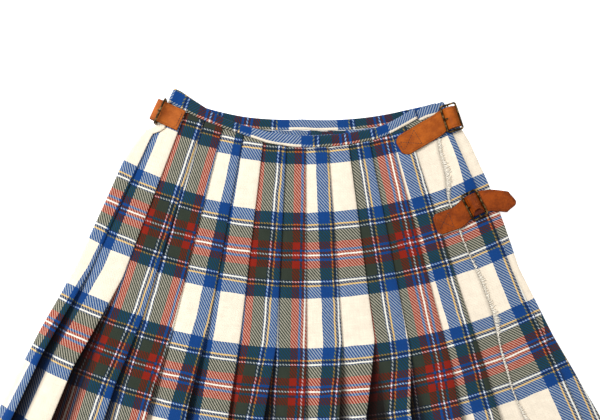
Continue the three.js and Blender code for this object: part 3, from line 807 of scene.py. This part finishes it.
def hump(seat, rise, turn, half):
    # under the buckle's first bar, over the middle one and under the last
    under = -buckle["wire"] / 2 - 2 * leather["gap"] - leather["thick"] / 2
    over = buckle["wire"] / 2 + leather["gap"] + leather["thick"] / 2 + rise
    reach = buckle["length"] / 2 - buckle["wire"] / 2
    made = []
    for along, share, turned in (
        (-1, 0, 0), (-0.8, 0.06, 0), (-0.52, 0.55, 0), (-0.26, 0.92, 0), (0, 1, 0),
        (0.26, 0.92, 0), (0.52, 0.55, 0), (0.8, 0.06, 0.1), (1, 0, 0.5),
    ):
        place = wayFrom(seat["at"], seat["heading"], along * reach)
        height = seat["at"][2] + lerp(under, over, share)
        made.append((*place, height, seat["heading"] + turn * turned, half))
    return made


# The left strap, from its sewn end to the end that is turned round the buckle: mm along, and height
leftStart = {"at": (-138, -377.5), "heading": 156}
leftTurn = [
    (0, 9.9), (7, 9.9), (15, 9.9), (20.5, 11.2), (26, 12.7),
    (31, 12.2), (34.2, 9.4), (33, 6.0), (29.5, 5.0), (26.2, 5.3),
]
straps = {
    "upper_strap": {
        "tan": (184, 94, 24), "deep": (150, 70, 12),
        "stations": [
            (109.4, -408.8, 10.0, 30.5, 6.4), (114.9, -405.6, 10.0, 30.5, 12.5),
            (128.0, -397.8, 9.9, 30.5, 12.7), (140.0, -390.6, 9.2, 30, 12.7), (152.0, -383.4, 8.4, 26, 12.7),
        ] + hump(upperSeat, 0.6, 0, 12.5),
    },
    "lower_strap": {
        "tan": (158, 70, 8), "deep": (112, 44, 2),
        "hollow": (lowerSeat, 6.5, 30.0),
        "stations": [
            (149.4, -497.4, 9.9, 19, 8), (154.0, -495.7, 9.9, 19, 12.4), (166.0, -491.4, 9.2, 20, 12.5),
            (176.0, -487.3, 8.5, 22, 12.5),
        ] + hump(lowerSeat, 4.2, -22, 12.5) + [
            (213.5, -468.4, 7.4, -2, 12.3), (224.0, -469.0, 6.4, -4, 12.2), (231.8, -469.8, 5.6, -5, 12.0),
            (233.2, -470.0, 5.4, -5, 11.6), (242.2, -470.9, 4.5, -6, 1.6),
        ],
    },
    "left_strap": {
        "tan": (184, 98, 34), "deep": (150, 72, 20),
        "stations": [
            (*wayFrom(leftStart["at"], leftStart["heading"], way), z, leftStart["heading"], 12.6)
            for way, z in leftTurn
        ],
    },
}

# the folded end under the lower strap's arch: the same leather in much darker colours, painted shade for the
# arch's shadow
straps["lower_strap_fold"] = {
    "tan": (96, 34, 12), "deep": (60, 18, 6),
    "stations": [
        (*wayFrom(lowerSeat["at"], lowerSeat["heading"], way), z, lowerSeat["heading"], 12.2)
        for way, z in ((-5.6, 11.9), (-3, 12.9), (0, 13.2), (3, 12.9), (5.6, 11.9))
    ],
}


def leatherFinish(name, strap):
    finish = Finish(name, Specular_IOR_Level=0.15)
    # the map's first coordinate is the way in from the nearest edge, in mm
    inside = finish.uvMap("leather")[1]
    mottle = finish.node("ShaderNodeTexNoise", Vector=finish.place(), Scale=75.0, Detail=4.0, Roughness=0.6)
    fineMottle = finish.node("ShaderNodeTexNoise", Vector=finish.place(), Scale=420.0, Detail=3.0)
    cells = {"feature": "DISTANCE_TO_EDGE"}
    grain = finish.node("ShaderNodeTexVoronoi", cells, Vector=finish.place(), Scale=1100.0)
    rubbed = (mottle * 0.75 + fineMottle * 0.25).step(0.32, 0.66)
    colour = finish.mix(rubbed, linear(*strap["deep"]), linear(*strap["tan"]))
    edge = 1 - (inside + (fineMottle - 0.5) * 0.9).step(0.2, 1.3)
    colour = finish.mix(edge * 0.7, colour, linear(*leather["edge"]))
    groove = 1 - abs(inside - leather["grooveIn"]).step(0.1, 0.5)
    colour = finish.mix(groove * 0.35, colour, linear(*leather["groove"]))
    finish.feed(Base_Color=colour, Roughness=0.4 + mottle * 0.25)
    finish.bump(grain.step(0.0, 0.25) * 0.5 + fineMottle * 0.6 - groove, 0.0004, 0.5)
    return finish.material


def strapRoute(stations):
    # a smooth run through the stations; widths stay straight between them
    places = [Vector((x + fan["apexX"], y + fan["apexY"], z)) for x, y, z, heading, half in stations]
    run = []
    for i in range(len(stations) - 1):
        a, b = places[max(i - 1, 0)], places[i]
        c, d = places[i + 1], places[min(i + 2, len(places) - 1)]
        for k in range(leather["steps"] + (1 if i == len(stations) - 2 else 0)):
            t = k / leather["steps"]
            bend, swing = 2 * a - 5 * b + 4 * c - d, 3 * b - a - 3 * c + d
            point = 0.5 * (2 * b + (c - a) * t + bend * t * t + swing * t ** 3)
            heading = math.radians(lerp(stations[i][3], stations[i + 1][3], t))
            half = lerp(stations[i][4], stations[i + 1][4], t)
            run.append({"at": point, "heading": heading, "half": half})
    for i, here in enumerate(run):
        forward = (run[min(i + 1, len(run) - 1)]["at"] - run[max(i - 1, 0)]["at"]).normalized()
        here["across"] = Vector((-math.sin(here["heading"]), math.cos(here["heading"]), 0))
        here["up"] = forward.cross(here["across"]).normalized()
        here["along"] = run[i - 1]["along"] + (here["at"] - run[i - 1]["at"]).length if i else 0.0
    return run


def onStrap(run, along, across, lift):
    # a point on a strap: mm from its sewn end, mm from its middle and mm above its face
    for low, high in zip(run, run[1:]):
        if along <= high["along"]:
            break
    t = clamp((along - low["along"]) / (high["along"] - low["along"]))
    place = low["at"].lerp(high["at"], t) + low["across"].lerp(high["across"], t) * across
    return place + low["up"].lerp(high["up"], t) * (leather["thick"] / 2 + lift)


# The strap's rounded section: share of the half width, and share of the half thickness
section = [
    (-1, 0.35), (-0.975, 0.78), (-0.93, 1), (-0.5, 1.04), (0, 1.06),
    (0.5, 1.04), (0.93, 1), (0.975, 0.78), (1, 0.35),
]


def makeStrap(name, strap):
    run = strapRoute(strap["stations"])
    mesh = bmesh.new()
    uv = mesh.loops.layers.uv.new("leather")
    inset = {}
    rings = []
    total = run[-1]["along"]
    for i, here in enumerate(run):
        ring = []
        endRound = leather["endThin"] if i in (0, len(run) - 1) else 1.0
        outline = section + [(share, -thick) for share, thick in reversed(section)]
        for share, thick in outline:
            lift = thick * leather["thick"] / 2 * endRound
            if "hollow" in strap and share < 0:
                # the arch over the middle bar is pulled in at its lower side, so it stands open
                seat, pull, spread = strap["hollow"]
                x = here["at"].x - fan["apexX"] - seat["at"][0]
                y = here["at"].y - fan["apexY"] - seat["at"][1]
                share *= 1 - pull / here["half"] * math.exp(-((x * x + y * y) / spread) ** 2)
            point = here["at"] + here["across"] * share * here["half"] + here["up"] * lift
            corner = mesh.verts.new(point * millimetre)
            fromEnd = min(here["along"], total - here["along"])
            inset[corner] = (min(here["half"] * (1 - abs(share)), fromEnd + 0.2), here["along"])
            ring.append(corner)
        rings.append(ring)
    joinRings(mesh, rings)
    for face in mesh.faces:
        for loop in face.loops:
            loop[uv].uv = inset[loop.vert]
    finish = leatherFinish(name + "_leather", strap)
    piece = addPiece(name + "_leather", closedMesh(name, mesh), finish)
    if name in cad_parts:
        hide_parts(name)
    return run


def brassFinish():
    finish = Finish("antique_brass", Metallic=1.0, Specular_IOR_Level=0.5)
    tarnish = finish.node("ShaderNodeTexNoise", Vector=finish.place(), Scale=260.0, Detail=4.0)
    speck = finish.node("ShaderNodeTexNoise", Vector=finish.place(), Scale=1500.0, Detail=2.0)
    worn = (tarnish * 0.7 + speck * 0.3).step(0.46, 0.66)
    metal = finish.mix(worn, linear(48, 38, 24), linear(150, 122, 78))
    finish.feed(Base_Color=metal, Roughness=0.5 - worn * 0.2)
    finish.bump(speck, 0.0002, 0.3)
    return finish.material


def dress(node, material):
    for slot in bpy.data.objects[node].material_slots:
        slot.material = material


strapRuns = {strapName: makeStrap(strapName, strap) for strapName, strap in straps.items()}
antiqueBrass = brassFinish()
for place in ("upper", "lower", "left"):
    dress(place + "_buckle", antiqueBrass)
    dress(place + "_prong", antiqueBrass)
print("leather and brass done")


threadShape = {"sides": 5, "taper": 0.45}


def threadFinish(name, light, dark):
    finish = Finish(name, Roughness=0.85, Sheen_Weight=0.2)
    strand = finish.node("ShaderNodeTexNoise", Vector=finish.place(), Scale=900.0, Detail=2.0)
    finish.feed(Base_Color=finish.mix(strand, linear(*dark), linear(*light)))
    finish.bump(strand, 0.0002, 0.4)
    return finish.material


def makeThreads(name, routes, radius, material):
    # many short threads in one mesh: each follows its points, closed and tapered at both ends
    mesh = bmesh.new()
    turns = [2 * math.pi * k / threadShape["sides"] for k in range(threadShape["sides"])]
    for route in routes:
        rings = []
        for i, point in enumerate(route):
            forward = (route[min(i + 1, len(route) - 1)] - route[max(i - 1, 0)]).normalized()
            across = forward.cross(Vector((0, 0, 1))).normalized()
            up = across.cross(forward)
            size = radius * (threadShape["taper"] if i in (0, len(route) - 1) else 1)
            rings.append([
                mesh.verts.new((point + (across * math.cos(a) + up * math.sin(a)) * size) * millimetre)
                for a in turns
            ])
        joinRings(mesh, rings)
    return addPiece(name, closedMesh(name, mesh), material)


# The straps are sewn down with crossed rows: mm along and across at each row's two ends
crossRows = {
    "upper_strap": [
        ((4.5, -5), (25, 9)), ((4.5, 5), (25, -9)), ((25, -9.5), (25, 9.5)), ((3.2, -5), (3.2, 5)),
    ],
    "lower_strap": [((4, -6), (19, 9)), ((4, 6), (19, -9)), ((19.5, -9), (19.5, 9))],
    "left_strap": [((3, -8), (3, 8))],
}
strapStitch = {"pitch": 2.6, "thread": 0.3}
darkThread = threadFinish("brown_thread", (66, 31, 11), (36, 17, 7))
for strapName, rows in crossRows.items():
    routes = []
    for (fromAlong, fromAcross), (toAlong, toAcross) in rows:
        count = int(math.hypot(toAlong - fromAlong, toAcross - fromAcross) / strapStitch["pitch"])
        for i in range(count):
            route = []
            for share, lift in ((0.12, -0.1), (0.35, 0.16), (0.65, 0.16), (0.88, -0.1)):
                t = (i + share) / count
                along, across = lerp(fromAlong, toAlong, t), lerp(fromAcross, toAcross, t)
                route.append(onStrap(strapRuns[strapName], along, across, lift))
            routes.append(route)
    makeThreads(strapName + "_stitches", routes, strapStitch["thread"], darkThread)

# The apron's raw edge: the weft's ends hang out of it, each as the last pull left it
fringeShare = [
    ("radius", "share"),
    (407, 0.6), (436, 1.0), (486, 0.95), (506, 0.4), (580, 0.45), (594, 1.0),
    (652, 1.0), (672, 0.45), (735, 0.4), (760, 0.8), (880, 0.6), (1018, 0.8),
]
fringe = {
    "from": 407, "to": 1016, "pitch": 1.0, "short": 3.0, "long": 8.4,
    "yarn": 0.4, "root": 1.2, "tipHeight": 5.3,
}
creamThread = threadFinish("cream_thread", (255, 251, 240), (246, 236, 216))
fringeRoutes = []
drop = fringe["tipHeight"] - layers["front"]
count = int((fringe["to"] - fringe["from"]) / fringe["pitch"])
for i in range(count):
    radius = fringe["from"] + (i + 0.5 + 0.5 * (uneven(i) - 0.5)) * fringe["pitch"]
    angle = math.radians(column(edges, radius, "apron"))
    edge = fanPoint(radius, angle, layers["front"] + 0.5)
    out = Vector((math.cos(angle), math.sin(angle), 0))
    down = Vector((math.sin(angle), -math.cos(angle), 0))
    wave = 0.5 + 0.5 * math.sin(i * 0.11 + 2 * uneven(i // 9 + 300))
    length = lerp(fringe["short"], fringe["long"], clamp(0.6 * wave + 0.5 * uneven(i + 1000) ** 1.5))
    length *= column(fringeShare, radius, "share")
    bend = (uneven(i + 2000) - 0.5) * 3.0 + 1.2 * math.sin(i * 0.17)
    fringeRoutes.append([
        edge - out * fringe["root"],
        edge + out * length * 0.3 + down * bend * 0.1 + Vector((0, 0, 0.25)),
        edge + out * length * 0.65 + down * bend * 0.45 + Vector((0, 0, drop * 0.4)),
        edge + out * length + down * bend + Vector((0, 0, drop)),
    ])
fringePiece = makeThreads("fringe_threads", fringeRoutes, fringe["yarn"], creamThread)
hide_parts("apron_fringe")

# One row of stitches holds the fringe
stitchRoutes = []
hold = {"from": 409, "to": 1012, "pitch": 2.9, "length": 2.1, "inside": 5.4, "thread": 0.22}
for i in range(int((hold["to"] - hold["from"]) / hold["pitch"])):
    radius = hold["from"] + i * hold["pitch"]
    route = []
    for share, rise in ((0, 0.35), (0.25, 0.6), (0.75, 0.6), (1, 0.35)):
        r = radius + share * hold["length"]
        angle = math.radians(column(edges, r, "apron")) - hold["inside"] / r
        point = fanPoint(r, angle, layers["front"] + 0.1 + rise)
        point.z += reliefAt(point.x, point.y, layers["front"])
        route.append(point)
    stitchRoutes.append(route)
makeThreads("apron_stitches", stitchRoutes, hold["thread"], creamThread)
print("fringe done")

# Floor and light
bpy.ops.mesh.primitive_plane_add(size=8, location=(0, 0, -0.0001))
floor = bpy.context.object
floor.name = "floor"
floorFinish = Finish("paper_white", Roughness=0.9, Base_Color=(0.9, 0.9, 0.9, 1), Emission_Color=(1, 1, 1, 1),
                     Emission_Strength=0.7)
floor.data.materials.append(floorFinish.material)


def softLight(name, x, y, z, size, power):
    data = bpy.data.lights.new(name, "AREA")
    data.size = size
    data.energy = power
    lamp = bpy.data.objects.new(name, data)
    lamp.location = (x, y, z)
    lamp.rotation_euler = Vector((-x, 0.1 - y, -z)).to_track_quat("-Z", "Y").to_euler()
    bpy.context.scene.collection.objects.link(lamp)


softLight("left_softbox", -1.6, 0.8, 2.0, 1.1, 58)
softLight("top_softbox", 0.7, 1.3, 2.2, 1.2, 12)
world = bpy.data.worlds.new("studio")
world.use_nodes = True
world.node_tree.nodes["Background"].inputs["Color"].default_value = (1, 1, 1, 1)
world.node_tree.nodes["Background"].inputs["Strength"].default_value = 0.5
bpy.context.scene.world = world
